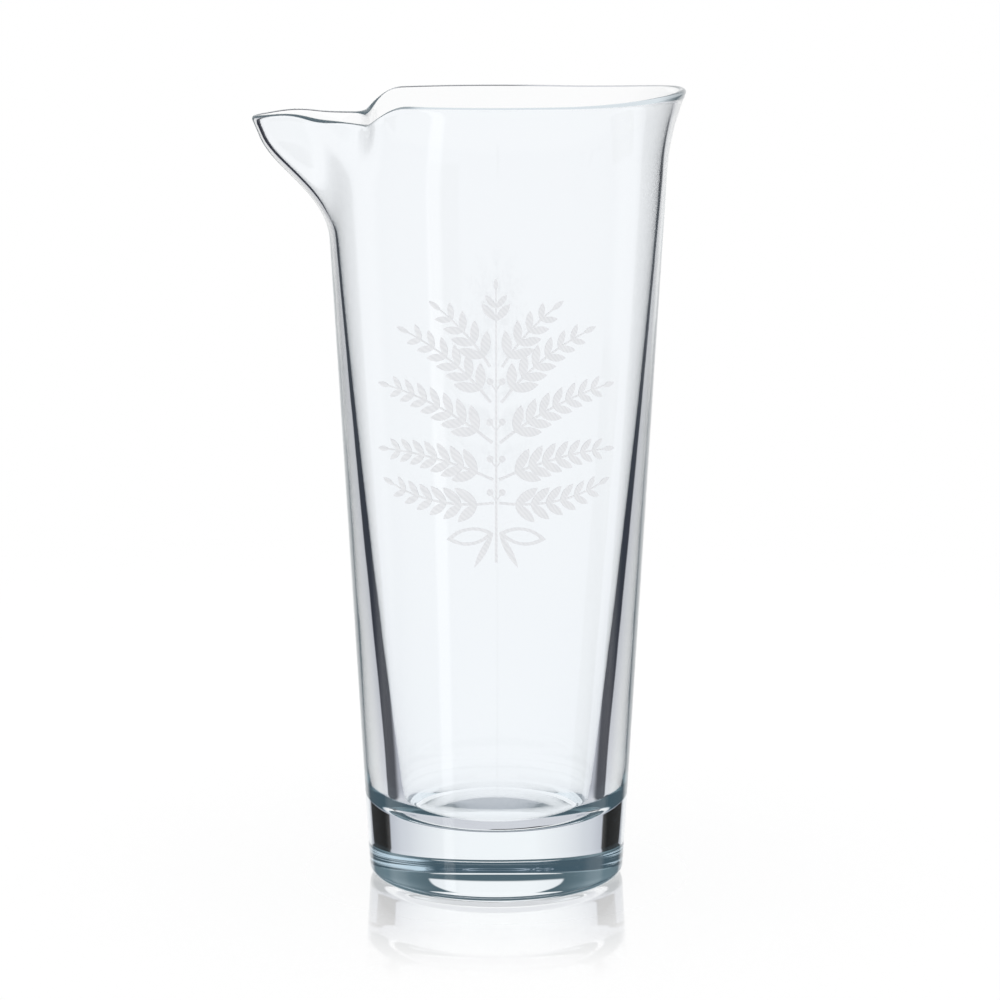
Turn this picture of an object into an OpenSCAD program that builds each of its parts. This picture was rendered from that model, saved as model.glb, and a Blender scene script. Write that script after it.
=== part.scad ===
// Glass cocktail pitcher.
// One thick-walled tapered glass with a heavy solid base, a flared fire-polished rim
// and a spout pulled and pinched out of the rim. A botanical spray is printed on it.
// The origin is the centre of the foot, +Z is up, the spout points along -X
// and the print faces -Y. Sizes are in millimetres, angles in degrees.

/* [Body] */
// Height from the foot to the rim at its sides
height = 240; // [232:1:248]
// Radius of the straight side, carried down to the table
foot_r = 39.1; // [38:0.1:41]
// Taper of the outer side
side_taper = 3.25; // [3:0.05:3.5]
// Radius of the rounded heel
heel_r = 3.5; // [2:0.25:5]

/* [Wall and base] */
// Wall thickness in the thin upper wall
wall_top_t = 2.1; // [1.8:0.1:2.6]
// Wall thickness just above the inside corner
wall_low_t = 10.8; // [9:0.1:11.5]
// How quickly the wall thins out upwards, 1 is an even taper
wall_curve = 1.5; // [1.3:0.05:1.7]
// Height of the inside floor
floor_z = 19.8; // [18:0.1:22]
// Rise of the inside floor at its centre
floor_crown = 0.6; // [0.2:0.1:1.2]
// Radius of the inside corner
corner_r = 10; // [7:0.5:12]
// Radius of the shallow hollow under the foot
hollow_r = 27; // [22:1:31]
// Depth of that hollow at its centre
hollow_h = 1; // [0.4:0.1:2]

/* [Rim] */
// Height at which the wall starts to flare
flare_z = 216; // [212:1:220]
// Radius of the flare, seen in section
flare_r = 62; // [56:1:72]
// How much higher the rim is at the back, opposite the spout
back_rise = 2.4; // [0:0.2:3]

/* [Spout] */
// How far the tip is pulled out beyond the round rim
pull = 16.5; // [12:0.5:19]
// Height at which the underside of the spout leaves the wall
pull_z = 197.5; // [195.5:0.5:201]
// Height over which the pull grows to its full length
pull_rise = 36; // [32:1:40]
// Half width of the spout, as an angle
pull_spread = 11.5; // [10:0.5:14]
// How far the rim is pinched in at each side of the spout
pinch = 6.5; // [4:0.25:8]
// Place of the pinch away from the print, as an angle from the tip
pinch_a = 32; // [30:1:35]
// How much farther from the tip the pinch on the printed side sits, the spout is made by hand
pinch_skew = 5; // [0:1:7]
// Half width of each pinch, as an angle
pinch_spread = 13; // [10:0.5:15]
// Height over which the pinch fades into the wall below the rim
pinch_fade = 26; // [20:1:32]
// How far the rim dips from the pinches to the tip
dip = 5.8; // [3:0.2:7]
// How far the lips rise again between each pinch and the tip
lip_rise = 1.2; // [0:0.1:2]
// How much deeper the rim dips at each pinch
pinch_dip = 0.6; // [0:0.1:1]

/* [Print] */
// Height of the middle of the print
print_z = 147; // [142:1:150]
// Thickness of the printed layer
print_t = 0.15; // [0.1:0.05:0.3]
// Length of the upright spray
spray_l = 82; // [80:1:84]
// Length of the largest leaf
leaf_l = 8; // [6:0.5:8.5]
// Width of a leaf as a share of its length
leaf_w = 0.36; // [0.3:0.02:0.4]
// Width of the stems
stem_w = 0.8; // [0.6:0.1:1.2]
// Radius of the berries
berry_r = 1; // [0.8:0.1:1.1]

/* [Hidden] */

// The solid of revolution ends here, and the lofted upper wall with the spout starts
join_z = 194;
corner_z = floor_z + corner_r;
// Slope of the inner wall where it meets the inside corner
inside_taper = atan(tan(side_taper) + (wall_low_t - wall_top_t) * wall_curve / (flare_z - corner_z));
arc_steps = 8;
floor_steps = 4;
inside_steps = 12;

// Steps round the rim, up the upper wall and over the rounded edge
rim_cols = 104;
wall_rows = 14;
edge_steps = 6;
// Share of the steps round the rim that is evenly spread, the rest crowds towards the spout
even_share = 0.55;
// The loft is let into the top of the turned body by this much, and keeps clear of its skin
let_in = 0.5;
side_gap = 0.01;
low_side_gap = 0.05;
inside_gap = 0.1;
low_inside_gap = 0.15;
// Step over which slopes are taken, in millimetres and in degrees
nearby = 0.05;

dip_z = 205;
// The rim has its full dip up to this angle behind a pinch, and none beyond the second
dip_full_a = 6;
dip_none_a = 26;
pinch_dip_spread = 9;
back_start_a = 110;
lip_rise_a = 11;
lip_rise_spread = 6;

// The print's figure, before it is wrapped round the glass
// Bend of a stem that looks straight
straight = 0.1;
stem_steps = 8;
stem_gap = 1.6;
leaf_lean = 40;
leaf_shrink = 0.45;
// Share of a stem that has leaves at its sides, and how far the end leaf covers the stem
leafy_end = 0.97;
end_overlap = 1;
top_pairs = 2;
top_bare = 0.88;
top_size = 0.8;
berry_lean = 34;
berry_reach = 3.2;
print_reach = 46;
print_depth = 12;
tie_z = -32;
bow_l = 14;
bow_w = 0.38;
bow_lean = -10;
ribbon_w = 0.9;
tail_l = 12;
tail_w = 0.16;
tail_lean = -62;

glass_colour = [0.86, 0.93, 0.94, 0.45];
print_colour = [0.9, 0.91, 0.93];

function smooth(t) = let (q = min(1, max(0, t))) q * q * (3 - 2 * q);
function bell(a, middle, spread) = exp(-pow((a - middle) / spread, 2));
function unit(v) = v / norm(v);
function arc(centre, r, from, to, steps) =
    [for (i = [0 : steps]) let (a = from + (to - from) * i / steps)
        [centre[0] + r * cos(a), centre[1] + r * sin(a)]];

// Radii of the turned body at a height
function side_r(z) = foot_r + z * tan(side_taper);
function wall_t(z) = wall_top_t
    + (wall_low_t - wall_top_t) * pow(max(0, flare_z - z) / (flare_z - corner_z), wall_curve);
function inside_r(z) = side_r(z) - wall_t(z);

// Middle of the upper wall before the spout is pulled
function middle_r(z) = side_r(z) - wall_t(z) / 2 + pow(max(0, z - flare_z), 2) / (2 * flare_r);

// The spout: angle a is counted from the tip, above 0 on the printed side
function pull_at(a, z) = pull * smooth((z - pull_z) / pull_rise) * bell(a, 0, pull_spread);
function own_pinch_a(a) = pinch_a + (a > 0 ? pinch_skew : 0);
function pinch_at(a, z) = pinch * pow(max(0, z - height + pinch_fade) / pinch_fade, 2)
    * bell(abs(a), own_pinch_a(a), pinch_spread);
function dip_at(a, z) = smooth((z - dip_z) / (height - dip_z))
    * (dip * (1 - smooth((abs(a) - own_pinch_a(a) - dip_full_a) / (dip_none_a - dip_full_a)))
        + pinch_dip * bell(abs(a), own_pinch_a(a), pinch_dip_spread)
        - back_rise * smooth((abs(a) - back_start_a) / (180 - back_start_a))
        - lip_rise * bell(abs(a), lip_rise_a, lip_rise_spread));
function wall_middle(a, z) = let (r = middle_r(z) + pull_at(a, z) - pinch_at(a, z))
    [-r * cos(a), -r * sin(a), z - dip_at(a, z)];
function wall_up(a, z) = unit(wall_middle(a, z + nearby) - wall_middle(a, z - nearby));
function wall_out(a, z) =
    unit(cross(wall_middle(a + nearby, z) - wall_middle(a - nearby, z), wall_up(a, z)));

// One section through the upper wall: up the outside, over the edge and down the inside
edge_z = height - wall_top_t / 2;
function row_z(i) = join_z + (edge_z - join_z) * i / wall_rows;
function ring_point(a, r, z) = [-r * cos(a), -r * sin(a), z];
function wall_section(a) = concat(
    [ring_point(a, side_r(join_z) - side_gap, join_z)],
    [for (i = [1 : wall_rows]) let (z = row_z(i)) wall_middle(a, z) + wall_out(a, z) * wall_t(z) / 2],
    [for (i = [1 : edge_steps - 1]) let (b = 180 * i / edge_steps)
        wall_middle(a, edge_z)
            + (wall_out(a, edge_z) * cos(b) + wall_up(a, edge_z) * sin(b)) * wall_top_t / 2],
    [for (i = [wall_rows : -1 : 1]) let (z = row_z(i)) wall_middle(a, z) - wall_out(a, z) * wall_t(z) / 2],
    [ring_point(a, inside_r(join_z) + inside_gap, join_z),
        ring_point(a, inside_r(join_z - let_in) + low_inside_gap, join_z - let_in),
        ring_point(a, side_r(join_z - let_in) - low_side_gap, join_z - let_in)]);

function column_a(i) = let (t = 2 * i / rim_cols - 1) 180 * (even_share * t + (1 - even_share) * pow(t, 3));

// Skin over a closed band of equal sections, each joined to the next and the last to the first
module closed_loft(sections) {
    cols = len(sections);
    rows = len(sections[0]);
    function corner(i, j) = (i % cols) * rows + j % rows;
    polyhedron(
        points = [for (s = sections) each s],
        faces = [for (i = [0 : cols - 1], j = [0 : rows - 1]) each [
            [corner(i, j), corner(i, j + 1), corner(i + 1, j + 1)],
            [corner(i, j), corner(i + 1, j + 1), corner(i + 1, j)]]],
        convexity = 10);
}

// Body below the spout, turned about the axis
module turned_body() {
    heel_c = [foot_r + heel_r * tan(side_taper) - heel_r / cos(side_taper), heel_r];
    corner_c = [inside_r(corner_z) - corner_r / cos(inside_taper), corner_z];
    rotate_extrude($fn = 128)
        polygon(concat(
            [for (i = [0 : floor_steps]) let (t = i / floor_steps) [hollow_r * t, hollow_h * (1 - t * t)]],
            arc(heel_c, heel_r, -90, -side_taper, arc_steps),
            [[side_r(join_z), join_z]],
            [for (i = [0 : inside_steps]) let (z = join_z + (corner_z - join_z) * i / inside_steps)
                [inside_r(z), z]],
            arc(corner_c, corner_r, -inside_taper, -90, arc_steps),
            [for (i = [floor_steps - 1 : -1 : 0]) let (t = i / floor_steps)
                [corner_c[0] * t, floor_z + floor_crown * (1 - t * t)]]));
}

module glass_body() {
    color(glass_colour) {
        turned_body();
        closed_loft([for (i = [0 : rim_cols - 1]) wall_section(column_a(i))]);
    }
}

// A pointed leaf along +X, the overlap of two circles
module leaf(length, width) {
    r = (length * length + width * width) / (4 * width);
    intersection() {
        translate([length / 2, r - width / 2]) circle(r, $fn = 96);
        translate([length / 2, width / 2 - r]) circle(r, $fn = 96);
    }
}

// Place and heading at a distance along a stem that bends by so many degrees in all
function stem_heading(d, length, bend) = bend * d / length;
function stem_place(d, length, bend) = let (r = length / (bend * PI / 180), a = stem_heading(d, length, bend))
    [r * sin(a), r * (1 - cos(a))];
function stem_side(d, length, bend) = let (a = stem_heading(d, length, bend)) [-sin(a), cos(a)];

// A stem that narrows to half its width
module stem(length, bend) {
    function edge(side) = [for (i = [0 : stem_steps]) let (d = length * i / stem_steps)
        stem_place(d, length, bend)
            + side * stem_side(d, length, bend) * stem_w * (1 - 0.5 * i / stem_steps) / 2];
    polygon(concat(edge(-1), [for (i = [stem_steps : -1 : 0]) edge(1)[i]]));
}

// A stem with pairs of leaves from a share of its length on, a leaf at its end and berries between
module spray(length, bend, pairs, bare = 0.14, size = 1) {
    stem(length, bend);
    for (k = [0 : pairs - 1]) {
        d = length * (bare + (leafy_end - bare) * k / pairs);
        l = leaf_l * size * (1 - leaf_shrink * k / pairs);
        translate(stem_place(d, length, bend)) rotate(stem_heading(d, length, bend))
            for (side = [-1, 1]) rotate(side * leaf_lean) leaf(l, l * leaf_w);
    }
    end_l = leaf_l * size * (1 - leaf_shrink);
    translate(stem_place(length - end_overlap, length, bend)) rotate(stem_heading(length, length, bend))
        leaf(end_l, end_l * leaf_w);
}

// Berries on short stalks, at the given distances along a stem
module berries(length, bend, distances) {
    for (d = distances, side = [-1, 1])
        translate(stem_place(d, length, bend)) rotate(stem_heading(d, length, bend) + side * berry_lean) {
            translate([0, -stem_w / 4]) square([berry_reach, stem_w / 2]);
            translate([berry_reach, 0]) circle(berry_r, $fn = 32);
        }
}

// Side sprays: start on the stem, heading, length, bend, pairs of leaves
side_sprays = [
    [-23, -8, 33, 30, 6],
    [-16, 26, 35, -28, 7],
    [-5, 42, 37, -34, 7],
    [7, 55, 33, -34, 6],
    [17.5, 60, 23, -24, 4]];
// Heights on the stem of the pairs of berries
berry_rows = [-22.5, -12.5, -1.5, 10.5];

module print_shell() {
    low_z = print_z - print_reach;
    high_z = join_z - 1;
    rotate_extrude($fn = 128) polygon([
        [side_r(low_z), low_z], [side_r(low_z) + print_t, low_z],
        [side_r(high_z) + print_t, high_z], [side_r(high_z), high_z]]);
}

// Wraps a flat figure round the glass, facing -Y, turned so that the point at x sits square on it
module printed(x = 0) {
    around = x / side_r(print_z) * 180 / PI;
    intersection() {
        print_shell();
        rotate(around) translate([-x, 0, print_z]) rotate([90, 0, 0])
            translate([0, 0, side_r(print_z) - print_depth]) linear_extrude(2 * print_depth) children();
    }
}

module side_spray(s) {
    translate([stem_gap, s[0]]) rotate(s[1]) spray(s[2], s[3], s[4]);
}

module print_centre_spray() {
    color(print_colour) printed() translate([0, -spray_l / 2]) rotate(90) {
        spray(spray_l, straight, top_pairs, bare = top_bare, size = top_size);
        berries(spray_l, straight, [for (v = berry_rows) spray_l / 2 + v]);
    }
}

module print_right_sprays() {
    color(print_colour) for (s = side_sprays)
        printed(stem_gap + s[2] * cos(s[1] + s[3] / 2) / 2) side_spray(s);
}

module print_left_sprays() {
    mirror([1, 0, 0]) print_right_sprays();
}

// A bow of two loops and two tails below the sprays
module print_tie() {
    color(print_colour) printed() translate([0, tie_z]) for (side = [0, 1]) mirror([side, 0]) {
        translate([stem_gap / 2, 0]) rotate(bow_lean) difference() {
            leaf(bow_l, bow_l * bow_w);
            translate([ribbon_w * 2, 0]) leaf(bow_l - 4 * ribbon_w, bow_l * bow_w - 2 * ribbon_w);
        }
        translate([stem_gap / 2, 0]) rotate(tail_lean) leaf(tail_l, tail_l * tail_w);
    }
}

glass_body();
print_centre_spray();
print_left_sprays();
print_right_sprays();
print_tie();
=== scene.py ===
import math

import bpy
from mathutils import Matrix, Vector


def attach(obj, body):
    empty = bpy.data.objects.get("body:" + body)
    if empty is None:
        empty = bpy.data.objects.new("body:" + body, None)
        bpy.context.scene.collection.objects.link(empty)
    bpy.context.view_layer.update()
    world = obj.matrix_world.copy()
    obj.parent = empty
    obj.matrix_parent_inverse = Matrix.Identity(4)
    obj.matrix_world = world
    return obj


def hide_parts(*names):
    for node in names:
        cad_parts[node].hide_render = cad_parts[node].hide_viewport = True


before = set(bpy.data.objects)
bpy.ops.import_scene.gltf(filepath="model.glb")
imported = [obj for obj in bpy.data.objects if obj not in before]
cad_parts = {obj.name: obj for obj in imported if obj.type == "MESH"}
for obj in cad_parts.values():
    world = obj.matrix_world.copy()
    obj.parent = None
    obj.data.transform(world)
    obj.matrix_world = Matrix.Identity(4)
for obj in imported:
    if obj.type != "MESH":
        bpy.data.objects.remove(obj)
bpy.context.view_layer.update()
print("frame loaded")


# Camera, at the photograph's viewing angle
cameraSet = {
    "distance": 1.106,       # from the axis of the pitcher
    "height": 0.3096,
    "tiltDown": 9.886,       # degrees
    "lens": 132.16,          # mm
    "sensor": 36,            # mm across
    "sideways": 0.00112,     # the pitcher stands a little left of the middle
}


def addCamera():
    c = cameraSet
    bpy.ops.object.camera_add(
        location=(c["sideways"], -c["distance"], c["height"]),
        rotation=(math.radians(90 - c["tiltDown"]), 0, 0))
    camera = bpy.context.object
    camera.data.sensor_width = c["sensor"]
    camera.data.lens = c["lens"]
    bpy.context.scene.camera = camera
    bpy.context.scene.view_settings.view_transform = "Standard"


# Small helpers for node trees
def addNode(tree, kind, **values):
    node = tree.nodes.new(kind)
    for name, value in values.items():
        setattr(node, name, value)
    return node


def join(tree, source, target):
    tree.links.new(source, target)


def mathNode(tree, operation, first, second=None, third=None):
    node = addNode(tree, "ShaderNodeMath", operation=operation)
    for socket, value in zip(node.inputs, (first, second, third)):
        if value is None:
            continue
        if isinstance(value, (int, float)):
            socket.default_value = value
        else:
            join(tree, value, socket)
    return node.outputs[0]


def product(tree, *values):
    result = values[0]
    for value in values[1:]:
        result = mathNode(tree, "MULTIPLY", result, value)
    return result


def opposite(tree, value):  # 1 where value is 0, and 0 where it is 1
    return mathNode(tree, "SUBTRACT", 1.0, value)


def atLeast(tree, depth, count):  # 1 for light that was turned that many times or more
    return mathNode(tree, "GREATER_THAN", depth, count - 0.5)


def rampNode(tree, value, start, end, kind="SMOOTHSTEP"):  # 0 at start, 1 at end
    node = addNode(tree, "ShaderNodeMapRange", interpolation_type=kind)
    join(tree, value, node.inputs["Value"])
    node.inputs["From Min"].default_value = start
    node.inputs["From Max"].default_value = end
    return node.outputs[0]


def angleRamp(tree, angle, start, end, kind="SMOOTHSTEP"):  # the same in degrees
    return rampNode(tree, angle, math.radians(start), math.radians(end), kind)


def windowMask(tree, angle, low, high, soft):  # 1 between low and high, in degrees
    return product(tree, angleRamp(tree, angle, low - soft, low + soft),
        angleRamp(tree, angle, high + soft, high - soft))


def tintNode(tree, factor, first, second):  # first where factor is 0, second where it is 1
    node = addNode(tree, "ShaderNodeMix", data_type="RGBA")
    sockets = [k for k in node.inputs if k.enabled]
    for socket, value in zip(sockets, (factor, first, second)):
        if isinstance(value, tuple):
            socket.default_value = (*value, 1)
        else:
            join(tree, value, socket)
    return [k for k in node.outputs if k.enabled][0]


def blendNode(tree, share, first, second):  # the same for two shaders
    node = addNode(tree, "ShaderNodeMixShader")
    if isinstance(share, (int, float)):
        node.inputs[0].default_value = share
    else:
        join(tree, share, node.inputs[0])
    join(tree, first.outputs[0], node.inputs[1])
    join(tree, second.outputs[0], node.inputs[2])
    return node


def newMaterial(name):
    material = bpy.data.materials.new(name)
    material.use_nodes = True
    material.node_tree.nodes.clear()
    return material, material.node_tree


def addOutput(tree, shader, kind="ShaderNodeOutputMaterial"):
    out = addNode(tree, kind)
    join(tree, shader.outputs[0], out.inputs["Surface"])
    return out


# Studio: a white room. Light that went through one stretch of glass, such as the base or the edge
# of the wall, sees dark surrounds in it, and a dark gap above the table's edge. Turn 0 is straight
# behind, rise 0 is level, angles are in degrees, and a pair says where a change starts and ends
studio = {
    "backlightTurn": (9, 46),     # to the sides the backlight gets dimmer
    "backlightCurve": 1.6,
    "backlightEdge": 0.50,
    "evenRise": (-15, -19),       # looking steeply down or far to the side it stays even
    "evenTurn": (62, 72),
    "tableRise": (-32, -28),
    "tableTone": 0.72,
    "dimTint": (0.28, 0.22, 0.0),  # the shares of red, green and blue that dim light lacks
    # Dark surrounds: turn from, turn to, rise from and rise to
    "surrounds": [
        (42.5, 66, -1.5, 5), (-66, -42.5, -1.5, 5),
        (152, 168, -5.5, 8), (-168, -152, -5.5, 8),
        (-154, -132, -24, -6),
        (72, 92, -34, -17), (178, 199, -34, -17),
        (-108, -88, -46, -32), (-2, 19, -46, -32),
    ],
    "surroundSoft": 0.9,
    "surroundTone": 0.006,
    "blockTurn": (42.5, 66),      # where the solid base shows a dark block at each side
    "blockRise": (-10, 30),
    "blockSoft": 3,
    "gapFrom": 4.5,
    "gapTo": 15.2,
    "gapSoft": 0.7,
    "gapEnd": (50, 44),           # higher up it is light again
    "windowSide": 22,             # half width of the bright window above the gap
    "windowNarrows": 1.9,
    "palerTurn": (70, 155),       # far to the sides the gap is paler
    "palerSoft": 4,
    "palerShare": 0.8,
    "gapTone": (0.072, 0.12, 0.145),        # straight behind
    "gapSideTurn": (18, 42),
    "gapSideTone": (0.145, 0.215, 0.25),    # at the sides
    "gapHighRise": (17, 25),
    "gapHighTone": (0.32, 0.41, 0.455),     # at the sides, higher up
    "zenithTone": (0.05, 0.075, 0.095),     # straight up, as the foot mirrors it
    "mouthRise": (30, 42),
    "mouthTone": (0.42, 0.44, 0.48),        # and as the inner wall mirrors it
    "insideTurn": (6, 50),        # for light that was reflected twice or more
    "insideTone": (0.042, 0.065, 0.083),
    "insideSideTone": (0.165, 0.245, 0.28),
    "ceilingRise": (26, 34),      # and what that sees higher up
    "ceilingTurn": (30, 60),
    "ceilingTone": (0.068, 0.115, 0.14),
    "ceilingSideTone": (0.205, 0.295, 0.335),
    "hollowTone": (0.95, 0.975, 1.0),       # for light that crossed the hollow
    "hollowCeiling": (0.66, 0.685, 0.72),
    "mirrorRise": (2, -1),        # below this the outside of the glass mirrors the room
    "mirrorSideTurn": (28, 67),   # turns between which it mirrors something dark
    "mirrorSideSoft": 6,
    "mirrorSideTone": 0.15,
    "frontFrom": 0.1,             # the room behind the camera: y of a direction, of length 1
    "frontTo": -0.1,
    "frontTone": 0.45,
    "stripTurn": (-142, -132),    # a strip light in it
    "stripSoft": 2,
    "stripTone": 1.7,
}


def lightWorld():
    s = studio
    world = bpy.data.worlds.new("studio")
    bpy.context.scene.world = world
    world.use_nodes = True
    tree = world.node_tree
    tree.nodes.clear()
    place = addNode(tree, "ShaderNodeTexCoord")
    split = addNode(tree, "ShaderNodeSeparateXYZ")
    join(tree, place.outputs["Generated"], split.inputs[0])
    x, y, z = split.outputs
    turn = mathNode(tree, "ARCTAN2", x, y)
    rise = mathNode(tree, "ARCSINE", z)
    away = mathNode(tree, "ABSOLUTE", turn)

    # The kinds of light, told apart by how often it went through a surface and was mirrored
    rays = addNode(tree, "ShaderNodeLightPath")
    inGlass = rays.outputs["Is Transmission Ray"]
    mirrored = rays.outputs["Is Glossy Ray"]
    entered = atLeast(tree, rays.outputs["Transmission Depth"], 1)
    once = opposite(tree, atLeast(tree, rays.outputs["Transmission Depth"], 3))
    reflected = atLeast(tree, rays.outputs["Glossy Depth"], 1)
    reflectedTwice = atLeast(tree, rays.outputs["Glossy Depth"], 2)
    # Light that goes down has crossed the cards' sheet, and rising light counts one for it. What
    # crossed a veil as well isn't direct
    crossed = mathNode(tree, "ADD", rays.outputs["Transparent Depth"],
        mathNode(tree, "GREATER_THAN", rise, 0.0))
    direct = opposite(tree, atLeast(tree, crossed, 2))

    # The backlight, with the pale table below it
    even = mathNode(tree, "MAXIMUM", angleRamp(tree, rise, *s["evenRise"]),
        angleRamp(tree, away, *s["evenTurn"]))
    aside = angleRamp(tree, away, *s["backlightTurn"], "LINEAR")
    dimmer = product(tree, mathNode(tree, "POWER", aside, s["backlightCurve"]),
        opposite(tree, product(tree, opposite(tree, reflected), even)))
    backlight = opposite(tree, product(tree, dimmer, 1.0 - s["backlightEdge"]))
    aboveTable = angleRamp(tree, rise, *s["tableRise"])
    level = mathNode(tree, "ADD", product(tree, backlight, aboveTable),
        product(tree, s["tableTone"], opposite(tree, aboveTable)))

    surround = product(tree, windowMask(tree, rise, *s["blockRise"], s["blockSoft"]),
        windowMask(tree, away, *s["blockTurn"], s["surroundSoft"]), opposite(tree, direct))
    for turnFrom, turnTo, riseFrom, riseTo in s["surrounds"]:
        mask = product(tree, windowMask(tree, turn, turnFrom, turnTo, s["surroundSoft"]),
            windowMask(tree, rise, riseFrom, riseTo, s["surroundSoft"]), direct)
        surround = mathNode(tree, "MAXIMUM", surround, mask)
    level = product(tree, level, opposite(tree, product(tree, surround, 1.0 - s["surroundTone"])))
    backdrop = addNode(tree, "ShaderNodeCombineColor")
    for socket, share in zip(backdrop.inputs, s["dimTint"]):
        join(tree, product(tree, level,
            mathNode(tree, "ADD", 1.0 - share, product(tree, level, share))), socket)

    # Above the table's edge it is dark, but for a bright window that is round at its upper end
    soft = s["gapSoft"]
    higher = product(tree, s["windowNarrows"],
        mathNode(tree, "SUBTRACT", rise, math.radians(s["gapTo"])))
    reach = mathNode(tree, "SQRT", mathNode(tree, "ADD", mathNode(tree, "POWER", away, 2.0),
        product(tree, higher, higher)))
    window = product(tree, angleRamp(tree, rise, s["gapTo"] - soft, s["gapTo"] + soft),
        angleRamp(tree, reach, s["windowSide"] + soft, s["windowSide"] - soft))
    belowEnd = angleRamp(tree, rise, *s["gapEnd"])
    paler = product(tree, s["palerShare"], belowEnd,
        windowMask(tree, away, *s["palerTurn"], s["palerSoft"]))
    gap = product(tree, opposite(tree, window),
        angleRamp(tree, rise, s["gapFrom"] - soft, s["gapFrom"] + soft), direct,
        mathNode(tree, "MAXIMUM", belowEnd, reflected), opposite(tree, paler))
    sideTone = tintNode(tree, angleRamp(tree, rise, *s["gapHighRise"]),
        s["gapSideTone"], s["gapHighTone"])
    gapTone = tintNode(tree, angleRamp(tree, away, *s["gapSideTurn"]), s["gapTone"], sideTone)
    gapTone = tintNode(tree, belowEnd, s["zenithTone"], gapTone)
    throughOnce = tintNode(tree, gap, backdrop.outputs[0], gapTone)

    # What light sees that was reflected twice or more in the glass
    ceiling = angleRamp(tree, rise, *s["ceilingRise"])
    insideTone = tintNode(tree, angleRamp(tree, away, *s["insideTurn"]),
        s["insideTone"], s["insideSideTone"])
    ceilingTone = tintNode(tree, angleRamp(tree, away, *s["ceilingTurn"]),
        s["ceilingTone"], s["ceilingSideTone"])
    deep = tintNode(tree, ceiling, insideTone, ceilingTone)

    # What the outside of the glass mirrors, below the table's edge: the room behind the camera
    strip = windowMask(tree, turn, *s["stripTurn"], s["stripSoft"])
    front = mathNode(tree, "ADD", s["frontTone"],
        product(tree, strip, s["stripTone"] - s["frontTone"]))
    darkSide = windowMask(tree, away, *s["mirrorSideTurn"], s["mirrorSideSoft"])
    back = opposite(tree, product(tree, darkSide, 1.0 - s["mirrorSideTone"]))
    inFront = rampNode(tree, y, s["frontFrom"], s["frontTo"])
    room = mathNode(tree, "ADD", product(tree, front, inFront),
        product(tree, back, opposite(tree, inFront)))
    low = angleRamp(tree, rise, *s["mirrorRise"])
    mirrorLight = tintNode(tree, product(tree, low, mirrored), (1.0, 1.0, 1.0), room)

    throughHollow = tintNode(tree, ceiling, s["hollowTone"], s["hollowCeiling"])
    shade = tintNode(tree, inGlass, mirrorLight, throughHollow)
    shade = tintNode(tree, product(tree, inGlass, once), shade, throughOnce)
    shade = tintNode(tree, product(tree, inGlass, once, direct, reflectedTwice), shade, deep)
    # Light of the foot that the inner wall mirrors upwards leaves through the mouth
    upwards = product(tree, mirrored, entered, reflectedTwice,
        angleRamp(tree, rise, *s["mouthRise"]))
    shade = tintNode(tree, upwards, shade, s["mouthTone"])
    light = addNode(tree, "ShaderNodeBackground")
    join(tree, shade, light.inputs["Color"])
    addOutput(tree, light, "ShaderNodeOutputWorld")


# Floor: white, with a short mirror image of the pitcher
floorSet = {
    "height": -0.00002,
    "radius": 3.0,
    "glow": 1.015,
    "shadowShare": 0.2,
    "mirrorShare": 0.46,
    "mirrorFade": (0.122, 0.036),  # distances from the axis between which the image fades
    "edgeFade": (0.25, 0.6),       # and between which the floor runs out into the backdrop
}


def addFloor():
    f = floorSet
    white = (1, 1, 1, 1)
    material, tree = newMaterial("whiteFloor")
    place = addNode(tree, "ShaderNodeTexCoord")
    far = addNode(tree, "ShaderNodeVectorMath", operation="LENGTH")
    join(tree, place.outputs["Object"], far.inputs[0])
    distance = far.outputs["Value"]
    glow = addNode(tree, "ShaderNodeEmission")
    glow.inputs["Color"].default_value = white
    glow.inputs["Strength"].default_value = f["glow"]
    matt = addNode(tree, "ShaderNodeBsdfDiffuse")
    matt.inputs["Color"].default_value = white
    mirror = addNode(tree, "ShaderNodeBsdfGlossy")
    mirror.inputs["Color"].default_value = white
    mirror.inputs["Roughness"].default_value = 0.0
    surface = blendNode(tree, f["shadowShare"], glow, matt)
    surface = blendNode(tree, product(tree, rampNode(tree, distance, *f["mirrorFade"]),
        f["mirrorShare"]), surface, mirror)
    clear = addNode(tree, "ShaderNodeBsdfTransparent")
    addOutput(tree, blendNode(tree, rampNode(tree, distance, *f["edgeFade"]), surface, clear))
    bpy.ops.object.select_all(action="DESELECT")
    bpy.ops.mesh.primitive_circle_add(vertices=96, radius=f["radius"], fill_type="NGON",
        location=(0, 0, f["height"]))
    floor = bpy.context.object
    floor.name = "floor"
    floor.data.materials.append(material)
    floor.visible_glossy = False
    floor.visible_transmission = False


def addSheet(name, height, radius, material, seenBy, place=(0, 0)):
    bpy.ops.object.select_all(action="DESELECT")
    bpy.ops.mesh.primitive_circle_add(vertices=96, radius=radius, fill_type="NGON",
        location=(*place, height))
    sheet = bpy.context.object
    sheet.name = name
    sheet.data.materials.append(material)
    for kind in ("camera", "diffuse", "glossy", "transmission", "volume_scatter", "shadow"):
        setattr(sheet, "visible_" + kind, kind == seenBy)


# Veils: clear sheets that only mark light, so the world knows what crossed them
veils = {
    "floorHeight": -0.00001,
    "floorRadius": 0.3,
    "rimHeight": 0.24265,
    "rimRadius": 0.044,
    "rimPlace": (0.016, -0.046),
}


def addVeils():
    v = veils
    material, tree = newMaterial("clearVeil")
    addOutput(tree, addNode(tree, "ShaderNodeBsdfTransparent"))
    # The first marks the floor's mirror image
    addSheet("veil", v["floorHeight"], v["floorRadius"], material, "glossy")
    # The second, just above the near rim, keeps light that leaves the rim upwards from being dark
    addSheet("rimVeil", v["rimHeight"], v["rimRadius"], material, "transmission", v["rimPlace"])


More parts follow.
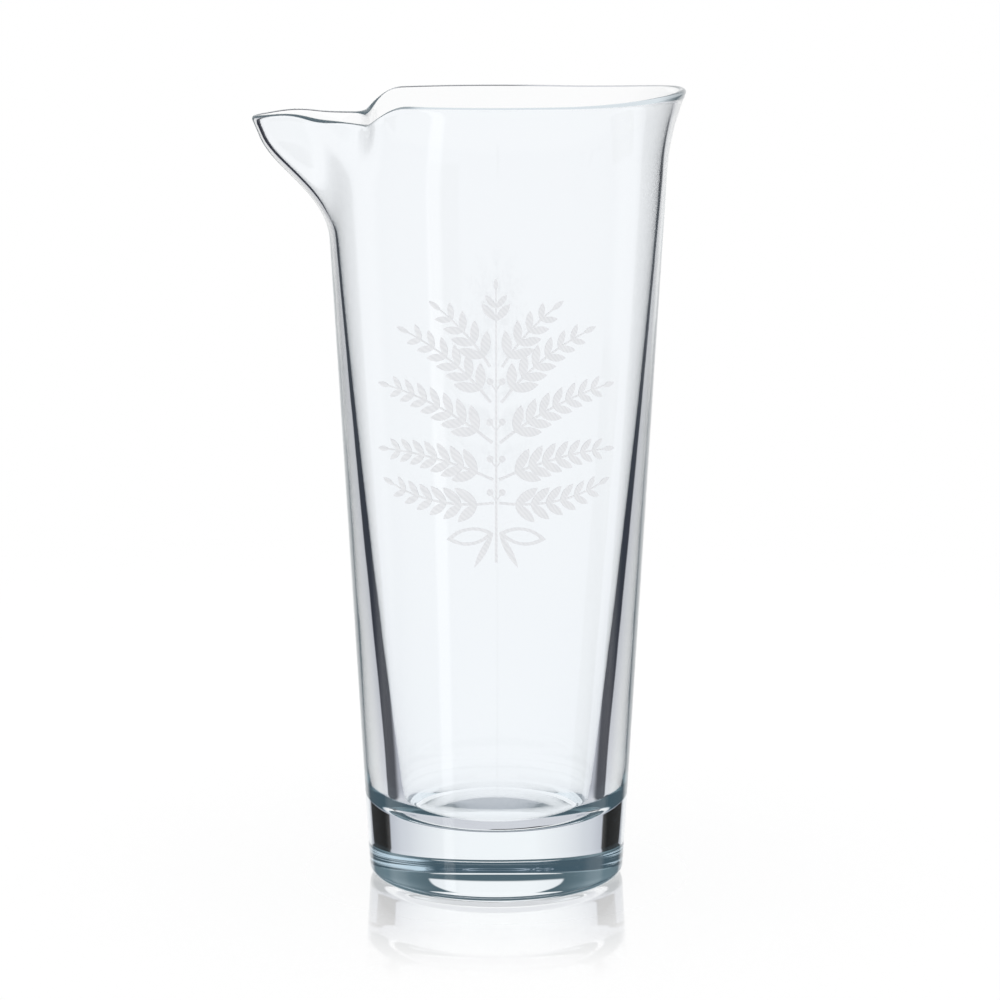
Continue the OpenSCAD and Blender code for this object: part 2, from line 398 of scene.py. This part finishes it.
# Cards: dark ones on the table at both sides behind, as light that stayed in the glass sees them
cards = {
    "height": -0.00003,
    "radius": 4.0,
    "innerSlope": 0.58,           # their inner edge: x = slope * y ** power, behind the pitcher
    "innerPower": 0.66,
    "innerSoft": 0.04,
    "nearEdge": (0.008, 0.016),   # where they begin behind the axis
    "outerSlope": 2.0,            # their outer edge: x = slope * y + one of these
    "outerEdge": (0.06, 0.03),
    "tone": (0.020, 0.022, 0.036),
    "baseExit": (0.007, 0.0394),  # where light of the base's blocks leaves it, to the side and back
    "blockReach": (0.42, 0.30),   # x + y at which the blocks end
}


def addCards():
    c = cards
    s = studio
    material, tree = newMaterial("darkCards")
    place = addNode(tree, "ShaderNodeTexCoord")
    split = addNode(tree, "ShaderNodeSeparateXYZ")
    join(tree, place.outputs["Object"], split.inputs[0])
    x, y = split.outputs[:2]
    aside = mathNode(tree, "ABSOLUTE", x)
    # The cards for the walls
    edge = product(tree, mathNode(tree, "POWER", mathNode(tree, "MAXIMUM", y, 0.0001),
        c["innerPower"]), c["innerSlope"])
    card = product(tree, rampNode(tree, mathNode(tree, "DIVIDE", aside, edge),
        1 - c["innerSoft"], 1 + c["innerSoft"]), rampNode(tree, y, *c["nearEdge"]),
        rampNode(tree, mathNode(tree, "SUBTRACT", aside, product(tree, y, c["outerSlope"])),
        *c["outerEdge"]))
    # Those for the blocks in the base
    blockTurn = mathNode(tree, "ARCTAN2", mathNode(tree, "ADD", aside, c["baseExit"][0]),
        mathNode(tree, "SUBTRACT", y, c["baseExit"][1]))
    block = product(tree, windowMask(tree, blockTurn, *s["blockTurn"], s["surroundSoft"]),
        rampNode(tree, mathNode(tree, "ADD", aside, y), *c["blockReach"]))
    rays = addNode(tree, "ShaderNodeLightPath")
    once = opposite(tree, atLeast(tree, rays.outputs["Transmission Depth"], 3))
    fromWall = atLeast(tree, rays.outputs["Glossy Depth"], 1)
    shown = mathNode(tree, "MAXIMUM", product(tree, card, fromWall),
        product(tree, block, opposite(tree, fromWall)))
    clear = addNode(tree, "ShaderNodeBsdfTransparent")
    dark = addNode(tree, "ShaderNodeEmission")
    join(tree, tintNode(tree, fromWall, (s["surroundTone"],) * 3, c["tone"]), dark.inputs["Color"])
    addOutput(tree, blendNode(tree, product(tree, shown, once), clear, dark))
    addSheet("cards", c["height"], c["radius"], material, "transmission")


addCamera()
lightWorld()
addFloor()
addVeils()
addCards()
print("camera, light and floor set")


# Glass: one thick-walled body with a pulled and pinched spout
pitcher = {
    "height": 0.240,
    "footRadius": 0.0391,    # of the straight side, carried down to the table
    "taper": 3.25,           # degrees
    "heelRadius": 0.0035,
    "hollowRadius": 0.027,
    "hollowDepth": 0.001,
    "wallTop": 0.0021,       # wall in its thin upper part
    "wallLow": 0.0108,       # wall just above the inside corner
    "wallCurve": 1.5,        # how quickly the wall thins out upwards
    "floorHeight": 0.0198,
    "floorCrown": 0.0006,
    "cornerRadius": 0.010,
    "flareStart": 0.216,
    "flareRadius": 0.062,
    "backRise": 0.0024,      # how much higher the rim is at the back, opposite the spout
    "backStart": 110,
    "pull": 0.0165,          # how far the spout is drawn out
    "pullStart": 0.1975,
    "pullRise": 0.036,
    "pullSpread": 11.5,
    "pinch": 0.0065,         # how far the rim is pressed in beside the spout
    "pinchAngle": 32,        # from the spout's tip
    "pinchSkew": 5,          # farther on the printed side
    "pinchSpread": 13,
    "pinchFade": 0.026,
    "dip": 0.0058,           # how far the rim sinks towards the spout
    "dipStart": 0.205,
    "dipFull": 6,            # full up to this angle behind each pinch
    "dipNone": 26,
    "pinchDip": 0.0006,
    "pinchDipSpread": 9,
    "lipRise": 0.0012,
    "lipAngle": 11,
    "lipSpread": 6,
    "joinHeight": 0.194,     # above this the wall may be pulled out of round
    "columns": 256,
    "evenShare": 0.6,        # of the columns, the rest crowd towards the spout
    "sideRows": 30,
    "wallRows": 30,
    "edgeRows": 10,
    "arcRows": 12,
    "floorRows": 8,
    "mergeWithin": 0.000001,
}


def smooth(t):
    t = min(1.0, max(0.0, t))
    return t * t * (3 - 2 * t)


def bell(angle, middle, spread):
    return math.exp(-((angle - middle) / spread) ** 2)


def sideRadius(z):
    return pitcher["footRadius"] + z * math.tan(math.radians(pitcher["taper"]))


def cornerHeight():
    return pitcher["floorHeight"] + pitcher["cornerRadius"]


def wallThickness(z):
    p = pitcher
    share = max(0.0, p["flareStart"] - z) / (p["flareStart"] - cornerHeight())
    return p["wallTop"] + (p["wallLow"] - p["wallTop"]) * share ** p["wallCurve"]


def wallMiddle(angle, z):  # angle in degrees from the spout's tip, above 0 on the printed side
    p = pitcher
    ownPinch = p["pinchAngle"] + (p["pinchSkew"] if angle > 0 else 0)
    flare = max(0.0, z - p["flareStart"]) ** 2 / (2 * p["flareRadius"])
    pull = (p["pull"] * smooth((z - p["pullStart"]) / p["pullRise"])
        * bell(angle, 0, p["pullSpread"]))
    pinch = (p["pinch"] * (max(0.0, z - p["height"] + p["pinchFade"]) / p["pinchFade"]) ** 2
        * bell(abs(angle), ownPinch, p["pinchSpread"]))
    behindPinch = (abs(angle) - ownPinch - p["dipFull"]) / (p["dipNone"] - p["dipFull"])
    sink = smooth((z - p["dipStart"]) / (p["height"] - p["dipStart"])) * (
        p["dip"] * (1 - smooth(behindPinch))
        + p["pinchDip"] * bell(abs(angle), ownPinch, p["pinchDipSpread"])
        - p["backRise"] * smooth((abs(angle) - p["backStart"]) / (180 - p["backStart"]))
        - p["lipRise"] * bell(abs(angle), p["lipAngle"], p["lipSpread"]))
    r = sideRadius(z) - wallThickness(z) / 2 + flare + pull - pinch
    turn = math.radians(angle)
    return Vector((-r * math.cos(turn), -r * math.sin(turn), z - sink))


def wallPoint(angle, z, outwards, upwards):  # the last two from the middle of the wall
    step = 0.00005
    turnStep = 0.05
    up = (wallMiddle(angle, z + step) - wallMiddle(angle, z - step)).normalized()
    along = wallMiddle(angle + turnStep, z) - wallMiddle(angle - turnStep, z)
    out = along.cross(up).normalized()
    return wallMiddle(angle, z) + out * outwards + up * upwards


def arcPoints(centre, radius, start, end, steps):
    turns = [math.radians(start + (end - start) * i / steps) for i in range(steps + 1)]
    return [(centre[0] + radius * math.cos(t), centre[1] + radius * math.sin(t)) for t in turns]


def bodySection():
    # Points (radius, height) from the middle of the foot round to the middle of the inside floor.
    # Those of the upper wall come with the height of the wall's middle and their place across it
    p = pitcher
    taper = math.radians(p["taper"])
    heelCentre = (sideRadius(p["heelRadius"]) - p["heelRadius"] / math.cos(taper), p["heelRadius"])
    lowInside = sideRadius(cornerHeight()) - wallThickness(cornerHeight())
    insideTaper = math.atan(math.tan(taper)
        + (p["wallLow"] - p["wallTop"]) * p["wallCurve"] / (p["flareStart"] - cornerHeight()))
    cornerCentre = (lowInside - p["cornerRadius"] / math.cos(insideTaper), cornerHeight())
    edgeHeight = p["height"] - p["wallTop"] / 2
    plain, upper = [], []

    for i in range(p["floorRows"]):
        share = i / p["floorRows"]
        plain.append((p["hollowRadius"] * share, p["hollowDepth"] * (1 - share * share)))
    plain.append((p["hollowRadius"], 0.0))
    plain += arcPoints(heelCentre, p["heelRadius"], -90, -p["taper"], p["arcRows"])
    sideStart = plain[-1][1]
    for i in range(1, p["sideRows"]):
        z = sideStart + (p["joinHeight"] - sideStart) * i / p["sideRows"]
        plain.append((sideRadius(z), z))
    heights = [p["joinHeight"] + (edgeHeight - p["joinHeight"]) * i / p["wallRows"]
        for i in range(p["wallRows"] + 1)]
    upper += [(z, wallThickness(z) / 2, 0.0) for z in heights]
    for i in range(1, p["edgeRows"]):
        turn = math.pi * i / p["edgeRows"]
        half = p["wallTop"] / 2
        upper.append((edgeHeight, math.cos(turn) * half, math.sin(turn) * half))
    upper += [(z, -wallThickness(z) / 2, 0.0) for z in reversed(heights)]
    inside = []
    cornerTop = cornerCentre[1] + p["cornerRadius"] * math.sin(-insideTaper)
    for i in range(1, p["sideRows"]):
        share = i / p["sideRows"]
        z = p["joinHeight"] + (cornerTop - p["joinHeight"]) * share
        inside.append((sideRadius(z) - wallThickness(z), z))
    inside += arcPoints(cornerCentre, p["cornerRadius"], -math.degrees(insideTaper), -90,
        p["arcRows"])
    for i in range(1, p["floorRows"] + 1):
        share = 1 - i / p["floorRows"]
        crown = p["floorCrown"] * (1 - share * share)
        inside.append((cornerCentre[0] * share, p["floorHeight"] + crown))
    return plain, upper, inside


def startMesh(name):  # a plane that is merged to one vertex
    bpy.ops.object.select_all(action="DESELECT")
    bpy.ops.mesh.primitive_plane_add(size=0.01)
    piece = bpy.context.object
    piece.name = name
    bpy.ops.object.mode_set(mode="EDIT")
    bpy.ops.mesh.select_all(action="SELECT")
    bpy.ops.mesh.merge(type="CENTER")
    return piece


def turnBody(name, points, columns):
    # One vertex is extruded along the section, which is then spun about the axis
    piece = startMesh(name)
    here = Vector((0, 0, 0))
    first = Vector((points[0][0], 0, points[0][1]))
    bpy.ops.transform.translate(value=first - here)
    here = first
    for r, z in points[1:]:
        there = Vector((r, 0, z))
        bpy.ops.mesh.extrude_region_move(TRANSFORM_OT_translate={"value": there - here})
        here = there
    bpy.ops.mesh.select_all(action="SELECT")
    bpy.ops.mesh.spin(steps=columns, angle=math.tau, center=(0, 0, 0), axis=(0, 0, 1))
    bpy.ops.mesh.select_all(action="SELECT")
    bpy.ops.mesh.remove_doubles(threshold=pitcher["mergeWithin"])
    bpy.ops.mesh.normals_make_consistent(inside=False)
    bpy.ops.object.mode_set(mode="OBJECT")
    return piece


def crowd(angle):  # moves the even columns closer together towards the spout
    t = angle / 180
    return 180 * (pitcher["evenShare"] * t + (1 - pitcher["evenShare"]) * t ** 3)


def inMicrons(r, z):
    return round(r * 1e6), round(z * 1e6)


def shapeGlass():
    # The section is spun as it is at the back. Then the upper rows get the form they have all round
    plain, upper, inside = bodySection()
    awayFromSpout = 180
    upperFlat = []
    rows = {}
    for row in upper:
        spot = wallPoint(awayFromSpout, *row)
        flat = (math.hypot(spot.x, spot.y), spot.z)
        upperFlat.append(flat)
        rows[inMicrons(*flat)] = row
    glass = turnBody("glass", plain + upperFlat + inside, pitcher["columns"])
    for v in glass.data.vertices:
        r = math.hypot(v.co.x, v.co.y)
        if r < pitcher["mergeWithin"]:
            continue
        angle = crowd(math.degrees(math.atan2(-v.co.y, -v.co.x)))
        across, up = inMicrons(r, v.co.z)
        row = None
        for dr in (0, -1, 1):
            for dz in (0, -1, 1):
                row = row or rows.get((across + dr, up + dz))
        if row:
            v.co = wallPoint(angle, *row)
        else:
            turn = math.radians(angle)
            v.co = (-r * math.cos(turn), -r * math.sin(turn), v.co.z)
    glass.data.update()
    bpy.ops.object.shade_smooth()
    return glass


glassFinish = {
    "lightBend": 1.5,
    "tint": (0.64, 0.85, 0.965),   # which shows where the glass is thick
    "tintDensity": 3.0,
    "caughtDepth": 5,              # reflections after which light counts as caught in the glass
    # painted glow that the glass emits for caught light, in place of the room's shade and light
    "paintedCaughtGlow": (0.055, 0.096, 0.12),
    "paintedRimGlow": (0.70, 0.76, 0.80),  # the same painted glow, paler, in the upper part of the near wall
    "rimHeight": (0.10, 0.18),      # z, x, x and y over which that part begins or ends
    "rimLeft": (-0.034, -0.024),
    "rimRight": (0.056, 0.050),
    "rimNear": (0.012, -0.004),
    "waveScale": 42,               # waves per metre
    "waveDetail": 1.0,
    "waveHeight": 0.00004,
}


def clearGlass():
    g = glassFinish
    material, tree = newMaterial("clearGlass")
    shader = addNode(tree, "ShaderNodeBsdfPrincipled")
    shader.inputs["Base Color"].default_value = (1, 1, 1, 1)
    shader.inputs["Roughness"].default_value = 0.0
    shader.inputs["IOR"].default_value = g["lightBend"]
    shader.inputs["Transmission Weight"].default_value = 1.0
    tint = addNode(tree, "ShaderNodeVolumeAbsorption")
    tint.inputs["Color"].default_value = (*g["tint"], 1)
    tint.inputs["Density"].default_value = g["tintDensity"]
    place = addNode(tree, "ShaderNodeTexCoord")
    # Painted light: where light is still caught inside after many reflections, the glass glows with
    # a painted mean tone, standing in for the shade and light that path would find
    rays = addNode(tree, "ShaderNodeLightPath")
    caught = mathNode(tree, "COMPARE", rays.outputs["Glossy Depth"], g["caughtDepth"], 0.5)
    split = addNode(tree, "ShaderNodeSeparateXYZ")
    join(tree, place.outputs["Object"], split.inputs[0])
    x, y, z = split.outputs
    # The painted glow turns pale in the upper part of the near wall, chosen by position
    paintedRimGlowMask = product(tree, rampNode(tree, z, *g["rimHeight"]), rampNode(tree, x, *g["rimLeft"]),
        rampNode(tree, x, *g["rimRight"]), rampNode(tree, y, *g["rimNear"]))
    paintedCaughtGlow = tintNode(tree, paintedRimGlowMask, g["paintedCaughtGlow"], g["paintedRimGlow"])
    join(tree, paintedCaughtGlow, shader.inputs["Emission Color"])
    join(tree, caught, shader.inputs["Emission Strength"])
    # The faint waves that pressing and fire polishing leave
    waves = addNode(tree, "ShaderNodeTexNoise")
    waves.inputs["Scale"].default_value = g["waveScale"]
    waves.inputs["Detail"].default_value = g["waveDetail"]
    join(tree, place.outputs["Object"], waves.inputs["Vector"])
    relief = addNode(tree, "ShaderNodeBump")
    relief.inputs["Strength"].default_value = 1.0
    relief.inputs["Distance"].default_value = g["waveHeight"]
    join(tree, waves.outputs["Fac"], relief.inputs["Height"])
    join(tree, relief.outputs[0], shader.inputs["Normal"])
    out = addOutput(tree, shader)
    join(tree, tint.outputs[0], out.inputs["Volume"])
    return material


glass = shapeGlass()
glass.data.materials.append(clearGlass())
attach(glass, "root")
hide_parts("glass_body")
print("glass shaped")


# Print: pale enamel, fired on in fine hatched strokes
enamelFinish = {
    "pale": (0.86, 0.87, 0.89),
    "deep": (0.73, 0.745, 0.77),
    "hatchScale": 420,       # strokes, in waves per metre
    "hatchWobble": 1.5,
    "hatchShare": 0.45,      # of the pattern, the rest are clouds
    "cloudScale": 260,
    "cloudDetail": 3.0,
    "roughFrom": 0.42,
    "roughTo": 0.62,
    "reliefHeight": 0.00002,
}


def enamel():
    e = enamelFinish
    material, tree = newMaterial("printEnamel")
    shader = addNode(tree, "ShaderNodeBsdfPrincipled")
    place = addNode(tree, "ShaderNodeTexCoord")
    hatch = addNode(tree, "ShaderNodeTexWave", wave_type="BANDS", bands_direction="DIAGONAL")
    hatch.inputs["Scale"].default_value = e["hatchScale"]
    hatch.inputs["Distortion"].default_value = e["hatchWobble"]
    join(tree, place.outputs["Object"], hatch.inputs["Vector"])
    clouds = addNode(tree, "ShaderNodeTexNoise")
    clouds.inputs["Scale"].default_value = e["cloudScale"]
    clouds.inputs["Detail"].default_value = e["cloudDetail"]
    join(tree, place.outputs["Object"], clouds.inputs["Vector"])
    cover = mathNode(tree, "ADD", product(tree, hatch.outputs["Fac"], e["hatchShare"]),
        product(tree, clouds.outputs["Fac"], 1 - e["hatchShare"]))
    join(tree, tintNode(tree, cover, e["deep"], e["pale"]), shader.inputs["Base Color"])
    rough = addNode(tree, "ShaderNodeMapRange")
    join(tree, clouds.outputs["Fac"], rough.inputs["Value"])
    rough.inputs["To Min"].default_value = e["roughFrom"]
    rough.inputs["To Max"].default_value = e["roughTo"]
    join(tree, rough.outputs[0], shader.inputs["Roughness"])
    relief = addNode(tree, "ShaderNodeBump")
    relief.inputs["Distance"].default_value = e["reliefHeight"]
    join(tree, cover, relief.inputs["Height"])
    join(tree, relief.outputs[0], shader.inputs["Normal"])
    addOutput(tree, shader)
    return material


printed = enamel()
for nodeName in ("print_centre_spray", "print_left_sprays", "print_right_sprays", "print_tie"):
    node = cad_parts[nodeName]
    for slot in node.material_slots:
        slot.material = printed
print("print finished")
